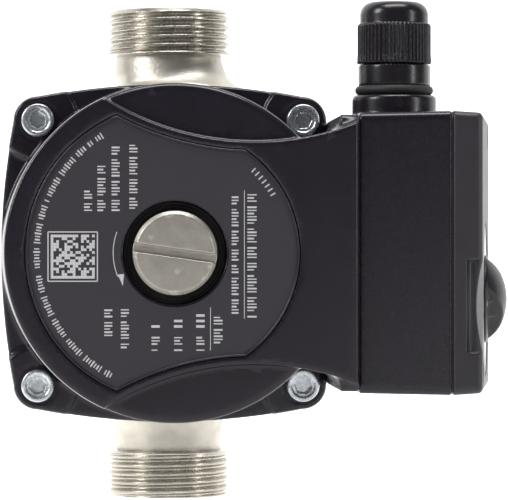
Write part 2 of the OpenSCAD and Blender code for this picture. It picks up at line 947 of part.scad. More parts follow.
module earth_screw() {
    washer_r = 4.2;
    head_r = 3.4;
    head_h = 3.2;
    color("#3f8f46") at_box(floor_x) translate([19, 14, 0]) difference() {
        union() {
            cylinder(r = washer_r, h = 0.9);
            cylinder(r = head_r, h = head_h);
        }
        cross_slot(head_h, 4.2, 0.9);
    }
}

// ---------------------------------------------------------------- cable gland

module gland_body() {
    gland_bottom = box_h / 2 - box_wall - 2;
    color("#232026") difference() {
        union() {
            at_gland(gland_bottom) cylinder(r = gland_thread_r, h = boss_top - gland_bottom + eps);
            at_gland(boss_top) cylinder(r = seal_neck_r, h = gland_seal_top - boss_top);
            at_gland(gland_seal_top) cylinder(r = collar_r, h = collar_top - gland_seal_top);
            at_gland(collar_top) cylinder(r = gland_thread_r, h = gland_thread_top - collar_top);
            at_gland(gland_thread_top) tube(claw_r, insert_r, claw_top - gland_thread_top);
        }
        at_gland(gland_bottom - over) cylinder(r = insert_r, h = 60);
        at_gland(gland_thread_top + 1) for (i = [0 : claw_count - 1]) {
            rotate(i * 360 / claw_count) translate([0, -0.5, 0]) cube([20, 1, 20]);
        }
    }
}

module gland_seal() {
    mid = (boss_top + gland_seal_top) / 2;
    half = (gland_seal_top - boss_top) / 2;
    color("#1b191e") at_gland(mid) rotate_extrude() {
        translate([gland_seal_r - half, 0]) circle(r = half, $fn = 32);
        translate([seal_neck_r, -half]) square([gland_seal_r - half - seal_neck_r, 2 * half]);
    }
}

module gland_insert() {
    len = claw_top + 0.6 - insert_bottom;
    color("#2d2c30") at_gland(insert_bottom) tube(insert_r, cable_bore_d / 2, len);
}

module gland_slip_ring() {
    color("#55525a") at_gland(claw_top + 0.7) {
        tube(nut_mouth_r + 0.35, cable_bore_d / 2 + 0.4, slip_ring_t);
    }
}

module gland_nut() {
    rib_r = 0.28;
    body_r = gland_nut_d / 2 - rib_r;
    shoulder = 2;
    thread_end = nut_rib_top - shoulder;
    color("#221f25") difference() {
        union() {
            at_gland(nut_bottom) cylinder(r = body_r, h = nut_rib_top - nut_bottom - 0.4);
            at_gland(nut_bottom) for (i = [0 : gland_ribs - 1]) {
                rotate(i * 360 / gland_ribs) translate([body_r, 0, 0]) {
                    cylinder(r = rib_r, h = nut_rib_top - nut_bottom - 0.4, $fn = 6);
                }
            }
            at_gland(nut_rib_top - 0.4) rotate_extrude() {
                square([nut_dome_r, 2.8]);
                square([nut_dome_r - 3.6, nut_top - nut_rib_top + 0.4]);
                intersection() {
                    translate([nut_dome_r - 3.6, 2.5]) circle(r = 3.6);
                    square([nut_dome_r, nut_top - nut_rib_top + 0.4]);
                }
            }
        }
        at_gland(nut_bottom - over) {
            cylinder(r = gland_thread_r + nut_gap, h = thread_end - nut_bottom + over);
        }
        at_gland(thread_end - eps) cylinder(r = claw_r + 0.4, h = shoulder + 1);
        at_gland(nut_rib_top) cylinder(r1 = claw_r + 0.4, r2 = nut_mouth_r, h = 3.4);
        at_gland(nut_rib_top) cylinder(r = nut_mouth_r, h = 20);
    }
}

pump_body();
neck_ring();
body_gasket();
impeller();
bearing_plate();
front_bearing();
thrust_bearing();
thrust_collar();
shaft();
rotor_core();
rotor_cage();
rotor_sleeve();
rear_bearing();
rear_bearing_holder();
rotor_can();
vent_bush();
vent_plug();
vent_plug_seal();
stator_core();
stator_insulators();
stator_windings();
stator_leads();
motor_housing();
nameplate();
flange_screws();
box_gasket();
terminal_box();
box_screws();
gland_body();
gland_seal();
gland_insert();
gland_slip_ring();
gland_nut();
cover_seal();
terminal_cover();
cover_screws();
dial_label();
speed_knob();
speed_switch();
switch_rotor();
capacitor();
terminal_block();
terminal_clamps();
terminal_screws();
earth_screw();
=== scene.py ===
import json
import math

import bpy
import numpy as np
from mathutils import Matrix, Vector


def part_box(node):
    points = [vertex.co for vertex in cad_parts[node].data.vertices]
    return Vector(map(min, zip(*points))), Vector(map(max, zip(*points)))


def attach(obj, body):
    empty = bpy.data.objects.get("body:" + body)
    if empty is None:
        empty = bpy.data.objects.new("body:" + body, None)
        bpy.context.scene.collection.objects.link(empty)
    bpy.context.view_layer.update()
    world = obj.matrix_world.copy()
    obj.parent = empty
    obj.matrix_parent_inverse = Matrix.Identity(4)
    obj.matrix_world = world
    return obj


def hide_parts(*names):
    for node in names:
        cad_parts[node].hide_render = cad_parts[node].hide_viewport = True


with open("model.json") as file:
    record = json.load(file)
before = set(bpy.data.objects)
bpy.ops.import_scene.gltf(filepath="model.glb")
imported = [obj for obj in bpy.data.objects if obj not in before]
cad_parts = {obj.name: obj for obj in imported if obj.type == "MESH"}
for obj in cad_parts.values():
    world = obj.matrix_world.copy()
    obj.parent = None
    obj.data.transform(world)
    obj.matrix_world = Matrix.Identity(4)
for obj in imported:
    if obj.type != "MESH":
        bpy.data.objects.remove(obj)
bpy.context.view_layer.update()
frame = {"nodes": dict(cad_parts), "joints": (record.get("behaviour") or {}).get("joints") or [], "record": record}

MM = 0.001

# ------------------------------------------------------------------ places, in millimetres


def box_mm(node):
    low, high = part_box(node)
    return np.array(low) / MM, np.array(high) / MM


BODY_LOW, BODY_HIGH = box_mm("pump_body")
HOUSING_LOW, HOUSING_HIGH = box_mm("motor_housing")
BOX_LOW, BOX_HIGH = box_mm("terminal_box")
COVER_LOW, COVER_HIGH = box_mm("terminal_cover")
NUT_LOW, NUT_HIGH = box_mm("gland_nut")
GLAND_LOW, GLAND_HIGH = box_mm("gland_body")
PLUG_LOW, PLUG_HIGH = box_mm("vent_plug")
SCREWS_LOW, SCREWS_HIGH = box_mm("flange_screws")
PLATE_LOW, PLATE_HIGH = box_mm("nameplate")

AXIS_Z = (BODY_LOW[2] + BODY_HIGH[2]) / 2
JOINT_FACE = -HOUSING_HIGH[1]
FRONT_FACE = -HOUSING_LOW[1]
FLANGE_HALF = (HOUSING_HIGH[2] - HOUSING_LOW[2]) / 2
SCREW_HEAD_R = 4.25
SCREW_AT = (SCREWS_HIGH[0] - SCREWS_LOW[0]) / 2 - SCREW_HEAD_R
PLUG_R = (PLUG_HIGH[0] - PLUG_LOW[0]) / 2
PLUG_FACE = -PLUG_LOW[1]
PAD_END = HOUSING_HIGH[0]
BOX_Y = (BOX_LOW[1] + BOX_HIGH[1]) / 2
BOX_HALF_Y = (BOX_HIGH[1] - BOX_LOW[1]) / 2
BOX_HALF_Z = AXIS_Z - BOX_LOW[2]
GLAND_X = (NUT_LOW[0] + NUT_HIGH[0]) / 2
SPEED_JOINT = next(j for j in frame["joints"] if j["name"] == "speed_turn")

DRUM_R = 42.3
DRUM_BASE_R = 44.4
DRUM_BACK = 19
DRUM_FRONT = 77.5
CAVITY_R = 38
CAVITY_END = 73
FLANGE_CORNER_R = 6.3
FLANGE_BULGE_R = 180
LUG_FACE = 21.5
ARC_R = 70
ARC_AT = (19.7, 97.7)
PLATE_ARC_R = 72.5
PLATE_LEFT_R = 36.7
PLATE_RIGHT_R = 30.6
PLATE_DEPTH = 0.9
PLUG_RECESS_R = 12.85
PAD_START = 42.8
BORE_R = 10.5
THREAD_R = 16.5
THREAD_LEN = 12
THREAD_PITCH = 2.309
NECK_R = 13.7
OUTLET_TURN = (0, 0, 117.5)
OUTLET_END = (13, -10, 91.5)
INLET_TURN = (0, 0, 15)
INLET_END = (0, 15, 51)
INLET_BULGE_END = (0, 12, 51)
COVER_TILT = math.radians(7.5)
COVER_FRONT_X = 76.7
KNOB_R = 11.2
KNOB_H = 5.37
DIAL_R = 19.7
DIAL_FACE = -0.3
GLAND_RIBS = 52

# ------------------------------------------------------------------ distance fields


def radius(a, b):
    return np.sqrt(a * a + b * b)


def rounded(a, b, r):
    """Two distances joined as an outside corner of radius r."""
    a, b = a + r, b + r
    return np.minimum(np.maximum(a, b), 0) + radius(np.maximum(a, 0), np.maximum(b, 0)) - r


def slab(t, low, high):
    return np.abs(t - (low + high) / 2) - (high - low) / 2


def bar(outline, t, low, high, r=0.0):
    """An outline carried from low to high along t, its end edges rounded by r."""
    return rounded(outline, slab(t, low, high), r)


def rect(a, b, half_a, half_b, r):
    a, b = np.abs(a) - half_a + r, np.abs(b) - half_b + r
    return np.minimum(np.maximum(a, b), 0) + radius(np.maximum(a, 0), np.maximum(b, 0)) - r


def join(a, b, fillet=0.0):
    """Both shapes, with a hollow fillet where they meet."""
    if not fillet:
        return np.minimum(a, b)
    inner = radius(np.maximum(fillet - a, 0), np.maximum(fillet - b, 0))
    return np.maximum(fillet, np.minimum(a, b)) - inner


def cut(a, b, edge=0.0):
    """a without b, with the new edge rounded."""
    if not edge:
        return np.maximum(a, -b)
    return -join(-a, b, edge)


def segment(x, y, z, start, end, r):
    """A round bar with ball ends."""
    d = np.subtract(end, start)
    px, py, pz = x - start[0], y - start[1], z - start[2]
    along = np.clip((px * d[0] + py * d[1] + pz * d[2]) / float(d @ d), 0, 1)
    px, py, pz = px - along * d[0], py - along * d[1], pz - along * d[2]
    return np.sqrt(px * px + py * py + pz * pz) - r


# ------------------------------------------------------------------ meshes

CORNERS = np.array([(i, j, k) for i in (0, 1) for j in (0, 1) for k in (0, 1)])
EDGES = [(a, b) for a in range(8) for b in range(a + 1, 8) if abs(CORNERS[a] - CORNERS[b]).sum() == 1]


def skin(field, low, high, cell):
    """The points and quads of the surface where the field is zero, one point in each cell it crosses."""
    axes = [np.arange(a - 1.5 * cell, b + 2.5 * cell, cell, dtype=np.float32) for a, b in zip(low, high)]
    shape = [len(a) for a in axes]
    grid = np.meshgrid(*axes, indexing="ij", sparse=True)
    f = np.broadcast_to(field(*grid), shape)
    inside = f < 0
    count = np.zeros([n - 1 for n in shape], np.int8)
    for c in CORNERS:
        count += inside[tuple(slice(o, n - 1 + o) for o, n in zip(c, shape))]
    active = (count > 0) & (count < 8)
    cells = np.argwhere(active)
    number = np.full(active.shape, -1, np.int32)
    number[active] = np.arange(len(cells))
    values = np.stack([f[tuple((cells + c).T)] for c in CORNERS], 1)
    total, hits = np.zeros((len(cells), 3)), np.zeros(len(cells))
    for a, b in EDGES:
        crossed = (values[:, a] < 0) != (values[:, b] < 0)
        step = np.where(crossed, values[:, a] / np.where(crossed, values[:, a] - values[:, b], 1), 0)
        at = CORNERS[a] + step[:, None] * (CORNERS[b] - CORNERS[a])
        total += at * crossed[:, None]
        hits += crossed
    origin = np.array([a[0] for a in axes], float)
    points = origin + (cells + total / hits[:, None]) * cell
    for _ in range(2):
        points = settle(field, points, cell)
    quads = []
    for axis in range(3):
        u, v = (axis + 1) % 3, (axis + 2) % 3
        window = [slice(1, -1)] * 3
        first, second = list(window), list(window)
        first[axis], second[axis] = slice(0, -1), slice(1, None)
        a, b = inside[tuple(first)], inside[tuple(second)]
        for outward in (True, False):
            at = np.argwhere(a & ~b if outward else ~a & b)
            ring = []
            for du, dv in ((0, 0), (1, 0), (1, 1), (0, 1)):
                corner = at.copy()
                corner[:, u] += du
                corner[:, v] += dv
                ring.append(number[tuple(corner.T)])
            quads.append(np.stack(ring if outward else ring[::-1], 1))
    return points, np.concatenate(quads)


def settle(field, points, cell):
    """The points moved onto the surface, along its slope."""
    h = 0.1 * cell
    value = field(*points.T)
    slope = np.stack([(field(*(points + h * e).T) - field(*(points - h * e).T)) / (2 * h) for e in np.eye(3)], 1)
    size = np.maximum((slope**2).sum(1), 0.2)
    move = -np.clip(value, -cell, cell)[:, None] * slope / size[:, None]
    return points + np.clip(move, -0.5 * cell, 0.5 * cell)


def new_object(name, points, faces):
    """A smooth-shaded mesh object from points in millimetres."""
    mesh = bpy.data.meshes.new(name)
    faces = np.asarray(faces)
    mesh.vertices.add(len(points))
    mesh.vertices.foreach_set("co", (np.asarray(points, float) * MM).astype(np.float32).ravel())
    mesh.loops.add(faces.size)
    mesh.loops.foreach_set("vertex_index", faces.astype(np.int32).ravel())
    mesh.polygons.add(len(faces))
    mesh.polygons.foreach_set("loop_start", np.arange(0, faces.size, faces.shape[1], dtype=np.int32))
    mesh.update(calc_edges=True)
    mesh.validate()
    mesh.shade_smooth()
    o = bpy.data.objects.new(name, mesh)
    bpy.context.scene.collection.objects.link(o)
    return o


def apply_modifiers(o):
    dg = bpy.context.evaluated_depsgraph_get()
    o.data = bpy.data.meshes.new_from_object(o.evaluated_get(dg))
    o.modifiers.clear()
    return o


def thin_out(o, keep):
    """Fewer faces where the surface is flat."""
    m = o.modifiers.new("thin_out", "DECIMATE")
    m.ratio = keep
    return apply_modifiers(o)


def solid(name, field, low, high, cell, keep=1.0):
    o = new_object(name, *skin(field, low, high, cell))
    return thin_out(o, keep) if keep < 1 else o


def wire(name, points, r, closed=True):
    """A thin raised line along points in millimetres."""
    points = np.asarray(points, float)
    n, sides = len(points), 8
    forward = np.roll(points, -1, 0) - np.roll(points, 1, 0)
    if not closed:
        forward[0], forward[-1] = points[1] - points[0], points[-1] - points[-2]
    forward /= np.linalg.norm(forward, axis=1)[:, None]
    up = np.array([0, 1.0, 0])
    side = np.cross(forward, up)
    side /= np.linalg.norm(side, axis=1)[:, None]
    turn = np.arange(sides) * 2 * np.pi / sides
    ring = points[:, None] + r * (side[:, None] * np.cos(turn)[:, None] + up * np.sin(turn)[:, None])
    last = n if closed else n - 1
    faces = [
        (i * sides + j, (i + 1) % n * sides + j, (i + 1) % n * sides + (j + 1) % sides, i * sides + (j + 1) % sides)
        for i in range(last)
        for j in range(sides)
    ]
    o = new_object(name, ring.reshape(-1, 3), faces)
    return o


def stamp(name, quads, place, low, high):
    """Flat marks: four-sided outlines raised from low to high above the face that place() puts them on."""
    points, faces = [], []
    for quad in quads:
        start = len(points)
        points += [place(a, b, h) for h in (low, high) for a, b in quad]
        sides = [(i, (i + 1) % 4, (i + 1) % 4 + 4, i + 4) for i in range(4)]
        for face in [(3, 2, 1, 0), (4, 5, 6, 7)] + sides:
            faces.append([start + i for i in face])
    o = new_object(name, points, faces)
    o.data.shade_flat()
    return o


def block(a, b, width, height):
    """A rectangle about the point a, b."""
    x, y = width / 2, height / 2
    return [(a - x, b - y), (a + x, b - y), (a + x, b + y), (a - x, b + y)]


def stroke(points, width):
    """A drawn line as one rectangle for each of its parts, with joined corners."""
    quads = []
    p = np.asarray(points, float)
    d = np.diff(p, axis=0)
    d /= np.linalg.norm(d, axis=1)[:, None]
    lean = np.concatenate([d[:1], d[1:] + d[:-1], d[-1:]])
    lean /= np.linalg.norm(lean, axis=1)[:, None]
    side = np.stack([-lean[:, 1], lean[:, 0]], 1) * width / 2
    for i in range(len(d)):
        quads.append([p[i] - side[i], p[i + 1] - side[i + 1], p[i + 1] + side[i + 1], p[i] + side[i]])
    return quads


def arc(r, start, end, steps):
    """Points round the origin, between two angles in degrees."""
    return [(r * math.cos(a), r * math.sin(a)) for a in np.radians(np.linspace(start, end, steps))]


# ------------------------------------------------------------------ materials


class Look:
    """A Principled material and short ways to wire nodes into it."""

    def __init__(self, name, rough, metal=0.0, spec=0.5, coat=0.0):
        self.m = bpy.data.materials.new(name)
        self.m.use_nodes = True
        self.t = self.m.node_tree
        self.p = next(n for n in self.t.nodes if n.type == "BSDF_PRINCIPLED")
        self.p.inputs["Metallic"].default_value = metal
        self.p.inputs["Roughness"].default_value = rough
        self.p.inputs["Specular IOR Level"].default_value = spec
        self.p.inputs["Coat Weight"].default_value = coat
        self.p.inputs["Coat Roughness"].default_value = 0.25
        self.at = self.node("ShaderNodeTexCoord").outputs["Object"]

    def node(self, kind, **values):
        n = self.t.nodes.new(kind)
        for k, v in values.items():
            if k in n.inputs:
                n.inputs[k].default_value = v
            else:
                setattr(n, k, v)
        return n

    def link(self, a, b):
        self.t.links.new(a, b)

    def noise(self, per_mm, detail=4.0, rough=0.6):
        n = self.node("ShaderNodeTexNoise", Scale=per_mm / MM, Detail=detail, Roughness=rough)
        self.link(self.at, n.inputs["Vector"])
        return n.outputs["Fac"]

    def ramp(self, fac, stops):
        n = self.node("ShaderNodeValToRGB")
        e = n.color_ramp.elements
        while len(e) < len(stops):
            e.new(0.5)
        for i, (at, colour) in enumerate(stops):
            e[i].position = at
            e[i].color = (*colour, 1) if len(colour) == 3 else colour
        self.link(fac, n.inputs["Fac"])
        return n.outputs["Color"]

    def blend(self, fac, a, b):
        n = self.node("ShaderNodeMix", data_type="RGBA")
        for value, slot in ((fac, 0), (a, 6), (b, 7)):
            if hasattr(value, "links"):
                self.link(value, n.inputs[slot])
            else:
                n.inputs[slot].default_value = value if slot == 0 else (*value, 1)
        return n.outputs[2]

    def edges(self, low, high):
        """0 on open faces and 1 on outside edges: the mask for worn edges and for a painted highlight along the rims.
        """
        g = self.node("ShaderNodeNewGeometry")
        return self.ramp(g.outputs["Pointiness"], [(low, (0, 0, 0)), (high, (1, 1, 1))])

    def colour(self, socket):
        self.link(socket, self.p.inputs["Base Color"])

    def roughness(self, fac, low, high):
        n = self.node("ShaderNodeMapRange")
        n.inputs["To Min"].default_value = low
        n.inputs["To Max"].default_value = high
        self.link(fac, n.inputs["Value"])
        self.link(n.outputs["Result"], self.p.inputs["Roughness"])

    def bump(self, layers):
        """Each layer is a height socket and its depth in millimetres."""
        normal = None
        for height, depth in layers:
            n = self.node("ShaderNodeBump", Strength=1.0, Distance=depth * MM)
            self.link(height, n.inputs["Height"])
            if normal:
                self.link(normal, n.inputs["Normal"])
            normal = n.outputs["Normal"]
        self.link(normal, self.p.inputs["Normal"])


def tint(colour, by):
    return tuple(min(1, c * by) for c in colour)


def surface(name, colour, rough, metal=0.0, grain=1.2, depth=0.03, vary=0.12, edge=1.25, edge_wear_and_highlight_from=0.53, **more):
    """A moulded, cast or painted surface: mottled colour, fine grain and lighter edges, which are partly wear and
    partly a painted highlight along the rims.
    """
    k = Look(name, rough, metal, **more)
    mottle = k.ramp(k.noise(grain * 0.12), [(0.3, tint(colour, 1 - vary)), (0.7, tint(colour, 1 + vary))])
    # outside edges painted lighter: partly worn finish, partly a painted highlight along the rims
    k.colour(k.blend(k.edges(edge_wear_and_highlight_from, edge_wear_and_highlight_from + 0.06), mottle, tint(colour, edge)))
    k.roughness(k.noise(grain * 0.5), rough - 0.08, rough + 0.08)
    k.bump([(k.noise(grain), depth)])
    return k.m


def laminated(name, colour):
    """Stacked sheet steel: fine rings along the motor axis."""
    k = Look(name, 0.45, 0.8)
    w = k.node("ShaderNodeTexWave", bands_direction="Y", Scale=0.5 / MM, Distortion=0.1)
    k.link(k.at, w.inputs["Vector"])
    k.colour(k.ramp(w.outputs["Fac"], [(0.2, tint(colour, 0.7)), (0.8, colour)]))
    k.roughness(k.noise(0.5), 0.35, 0.55)
    k.bump([(w.outputs["Fac"], 0.05)])
    return k.m


def windings(name):
    """Enamelled copper wire laid side by side."""
    k = Look(name, 0.3, 0.6)
    w = k.node("ShaderNodeTexWave", wave_type="RINGS", rings_direction="Y", Scale=0.35 / MM, Distortion=1.2)
    k.link(k.at, w.inputs["Vector"])
    k.colour(k.ramp(w.outputs["Fac"], [(0.1, (0.16, 0.045, 0.012)), (0.9, (0.55, 0.2, 0.06))]))
    k.roughness(k.noise(0.8), 0.22, 0.4)
    k.bump([(w.outputs["Fac"], 0.2)])
    return k.m


def dotted_foil(name, colour):
    """Brushed foil printed with a faint sheen."""
    k = Look(name, 0.35, 0.35)
    k.colour(k.ramp(k.noise(0.5), [(0.3, tint(colour, 0.92)), (0.7, colour)]))
    k.roughness(k.noise(1.5), 0.3, 0.45)
    k.bump([(k.noise(2.0), 0.008)])
    return k.m


# edge: how much lighter the outside edges are painted, for wear and for a painted highlight along the rims
LOOKS = {
    "black_paint": surface("black_paint", (0.0105, 0.0075, 0.0135), 0.24, grain=1.6, depth=0.014, vary=0.15, edge=2.2, spec=0.45),
    "box_plastic": surface("box_plastic", (0.008, 0.0058, 0.0108), 0.27, grain=1.1, depth=0.007, vary=0.08, edge=2.0, spec=0.45),
    "cover_plastic": surface("cover_plastic", (0.021, 0.0185, 0.024), 0.4, grain=1.9, depth=0.08, edge=1.8),
    "knob_plastic": surface("knob_plastic", (0.0105, 0.0085, 0.012), 0.34, grain=1.9, depth=0.03, edge=1.8, spec=0.4),
    "gland_plastic": surface("gland_plastic", (0.0095, 0.0075, 0.0115), 0.26, grain=1.0, depth=0.008, edge=1.8, spec=0.45),
    "plate": surface("plate", (0.021, 0.019, 0.024), 0.5, grain=1.2, depth=0.01, edge=1.5, spec=0.4),
    "print": surface("print", (0.55, 0.54, 0.56), 0.5, grain=1.2, depth=0.005, edge=1.0),
    "cast_nickel": surface("cast_nickel", (0.6, 0.57, 0.5), 0.42, 0.8, grain=1.1, depth=0.09, edge=1.2),
    "thread_nickel": surface("thread_nickel", (0.52, 0.49, 0.43), 0.26, 0.9, grain=0.9, depth=0.02, edge=1.3),
    "nickel": surface("nickel", (0.42, 0.395, 0.35), 0.4, 0.8, grain=2.2, depth=0.05, edge=1.4),
    "zinc": surface("zinc", (0.62, 0.65, 0.68), 0.28, 0.9, grain=1.5, depth=0.01, edge=1.3),
    "steel": surface("steel", (0.56, 0.56, 0.55), 0.3, 0.9, grain=1.2, depth=0.01, edge=1.2),
    "brass": surface("brass", (0.6, 0.42, 0.16), 0.32, 0.9, grain=1.0, depth=0.015, edge=1.2),
    "rubber": surface("rubber", (0.012, 0.012, 0.013), 0.62, grain=1.5, depth=0.02, edge=1.5),
    "carbon": surface("carbon", (0.03, 0.03, 0.032), 0.5, 0.2, grain=1.8, depth=0.02, edge=1.8),
    "ceramic": surface("ceramic", (0.78, 0.76, 0.7), 0.2, grain=0.6, depth=0.003, vary=0.03, edge=1.05),
    "cage": surface("cage", (0.6, 0.61, 0.62), 0.4, 0.8, grain=0.8, depth=0.03, edge=1.2),
    "insulation": surface("insulation", (0.72, 0.66, 0.52), 0.5, grain=0.8, depth=0.02, edge=1.05),
    "lead_sleeve": surface("lead_sleeve", (0.05, 0.04, 0.04), 0.5, grain=1.2, depth=0.01, edge=1.3),
    "impeller_plastic": surface("impeller_plastic", (0.3, 0.27, 0.2), 0.45, grain=1.0, depth=0.02, edge=1.15),
    "switch_plastic": surface("switch_plastic", (0.7, 0.68, 0.6), 0.4, grain=0.9, depth=0.012, vary=0.04, edge=1.05),
    "capacitor_case": surface("capacitor_case", (0.6, 0.57, 0.48), 0.38, grain=0.7, depth=0.01, vary=0.04, edge=1.05),
    "green_paint": surface("green_paint", (0.06, 0.3, 0.08), 0.4, grain=1.2, depth=0.01, edge=1.4),
    "lamination": laminated("lamination", (0.36, 0.37, 0.39)),
    "copper": windings("copper"),
    "dial": dotted_foil("dial", (0.62, 0.63, 0.65)),
    "ink": surface("ink", (0.03, 0.03, 0.035), 0.5, grain=1.5, depth=0.004, edge=1.0),
    "white_print": surface("white_print", (0.75, 0.75, 0.75), 0.5, grain=1.5, depth=0.004, vary=0.03, edge=1.0),
}

SLOT_OF_NODE = {s["node"]: s["material_slot"] for s in frame["record"]["subparts"]}


def dress(o, look):
    o.data.materials.clear()
    o.data.materials.append(LOOKS[look])
    return o


def show(o, body, look, stands_for=()):
    """Puts a new piece on its body with its material."""
    dress(o, look)
    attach(o, body)
    if stands_for:
        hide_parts(*stands_for)
    return o


# ------------------------------------------------------------------ motor housing


def at_screws(u, v):
    return radius(np.abs(u) - SCREW_AT, np.abs(v) - SCREW_AT)


def flange_outline(u, v, inset=0.0):
    sides = [
        radius(u, np.abs(v) + FLANGE_BULGE_R - FLANGE_HALF) - FLANGE_BULGE_R,
        radius(np.abs(u) + FLANGE_BULGE_R - FLANGE_HALF, v) - FLANGE_BULGE_R,
        (np.abs(u) + np.abs(v) - 2 * SCREW_AT - FLANGE_CORNER_R) / math.sqrt(2),
    ]
    plate = np.maximum(np.maximum(sides[0], sides[1]), sides[2])
    return np.minimum(plate, at_screws(u, v) - FLANGE_CORNER_R) + inset


def between_arcs(u, v, r):
    """Negative in the waist between the two big arcs."""
    return r - radius(u - ARC_AT[0], np.abs(v) - ARC_AT[1])


def plate_outline(u, v, grow=0.0):
    ends = np.where(u < 0, radius(u, v) - PLATE_LEFT_R, radius(u, v) - PLATE_RIGHT_R)
    return np.maximum(ends, between_arcs(u, v, PLATE_ARC_R)) - grow


def housing_field(x, y, z):
    u, v, d = x, z - AXIS_Z, -y
    rho = radius(u, v)
    outline = flange_outline(u, v)
    f = bar(outline, d, JOINT_FACE, 20.4, 0.9)
    lugs = np.maximum(outline, at_screws(u, v) - 10.4)
    f = join(f, bar(lugs, d, JOINT_FACE, LUG_FACE, 0.7), 0.8)
    draft = (DRUM_BASE_R - DRUM_R) / (DRUM_FRONT - DRUM_BACK)
    wall = rho - DRUM_BASE_R + (d - DRUM_BACK) * draft
    f = join(f, bar(wall, d, JOINT_FACE, DRUM_FRONT, 1.5), 0.9)
    waist = between_arcs(u, v, ARC_R)
    step = np.maximum(rho - DRUM_R, waist)
    neck = np.maximum(waist, slab(u, 0, PAD_END - 0.1))
    f = join(f, bar(np.minimum(step, neck), d, DRUM_FRONT - 2, FRONT_FACE, 0.7), 0.7)
    f = join(f, bar(neck, d, 26, FRONT_FACE - 0.8, 0.7))
    pad = rect(v, y - BOX_Y, BOX_HALF_Z - 1, BOX_HALF_Y - 0.5, 1.5)
    pad = np.maximum(pad, d - FRONT_FACE + 0.2)
    f = join(f, bar(pad, u, PAD_START - 1.6, PAD_END, 0.5), 2.5)
    f = cut(f, bar(plate_outline(u, v, 0.4), d, FRONT_FACE - PLATE_DEPTH, 99), 0.25)
    f = cut(f, bar(rho - CAVITY_R, d, 0, CAVITY_END))
    f = cut(f, bar(rho - PLUG_RECESS_R, d, CAVITY_END - 1, 99), 0.4)
    f = cut(f, bar(at_screws(u, v) - 5.15, d, LUG_FACE, 50), 0.3)
    f = cut(f, bar(at_screws(u, v) - 2.75, d, 0, 50))
    passage = radius(d - 69.5, v - 20) - 3.6
    f = cut(f, bar(passage, u, 20, 60))
    return np.maximum(f, np.maximum(np.abs(v), -u) - FLANGE_HALF + 0.01)


def make_housing():
    low = (-45.5, -FRONT_FACE - 0.3, AXIS_Z - 45.5)
    high = (PAD_END + 0.3, -JOINT_FACE + 0.3, AXIS_Z + 45.5)
    show(solid("housing_shell", housing_field, low, high, 0.45, 0.42), "pump", "black_paint", ["motor_housing"])
    show(plate_border(0.05, 0.3, FRONT_FACE - 0.05, "plate_rim"), "pump", "black_paint")


def plate_border(grow, r, depth, name):
    """A raised line round the nameplate, from the outline's own arcs."""
    arc_r = PLATE_ARC_R - grow
    left, right = PLATE_LEFT_R + grow, PLATE_RIGHT_R + grow
    corners = [meet(left, arc_r, -1), meet(right, arc_r, 1)]
    turn = [math.atan2(v, u) for u, v in corners]
    top_angles = [math.atan2(v - ARC_AT[1], u - ARC_AT[0]) for u, v in corners]
    top = [(ARC_AT[0] + arc_r * math.cos(a), ARC_AT[1] + arc_r * math.sin(a)) for a in np.linspace(*top_angles, 40)]
    right_end = [(right * math.cos(a), right * math.sin(a)) for a in np.linspace(turn[1], -turn[1], 30)]
    bottom = [(u, -v) for u, v in top[::-1]]
    left_end = [(left * math.cos(a), left * math.sin(a)) for a in np.linspace(2 * math.pi - turn[0], turn[0], 60)]
    loop = top[:-1] + right_end[:-1] + bottom[:-1] + left_end[:-1]
    return wire(name, [(u, -depth, AXIS_Z + v) for u, v in loop], r)


def meet(r, arc_r, side):
    """Where a circle about the motor axis meets the upper big arc, on one side of it."""
    cu, cv = ARC_AT
    gap = math.hypot(cu, cv)
    along = (gap**2 + r**2 - arc_r**2) / (2 * gap)
    off = math.sqrt(r**2 - along**2)
    return (cu * along + side * cv * off) / gap, (cv * along - side * cu * off) / gap


# ------------------------------------------------------------------ nameplate print


def on_plate(a, b, h):
    return a, PLATE_LOW[1] - h, AXIS_Z + b


def plain_lines(at, start, end, height, seed=0):
    """A stand-in for a line of print read from top to bottom: short bars in groups."""
    quads, v, n = [], start, seed
    while v > end:
        word = 3 + (n * 7 + seed) % 4
        for i in range(word):
            v -= 0.78
            tall = height * (1 if (i * 5 + n + seed) % 3 else 0.72)
            if v > end:
                quads.append(block(at - (height - tall) / 2, v, tall, 0.3 + 0.14 * ((i + n) % 2)))
        v -= 0.75
        n += 1
    return quads


def square_code(u, v, size):
    """A plain square pattern of small blocks inside a thin frame."""
    count = 16
    pitch = (size - 1.3) / count
    quads = []
    for i in range(count):
        for j in range(count):
            border = i == 0 or j == 0 or (j == count - 1 and i % 2) or (i == count - 1 and j % 2)
            if border or (i * i * 7 + j * j * 11 + i * j * 5) % 13 < 6:
                place = u + (i - (count - 1) / 2) * pitch, v + (j - (count - 1) / 2) * pitch
                quads.append(block(*place, pitch * 0.97, pitch * 0.97))
    half = size / 2
    frame_line = [(u - half, v - half), (u + half, v - half), (u + half, v + half), (u - half, v + half)]
    for a, b in zip(frame_line, frame_line[1:] + frame_line[:1]):
        quads += stroke([a, b], 0.28)
    return quads


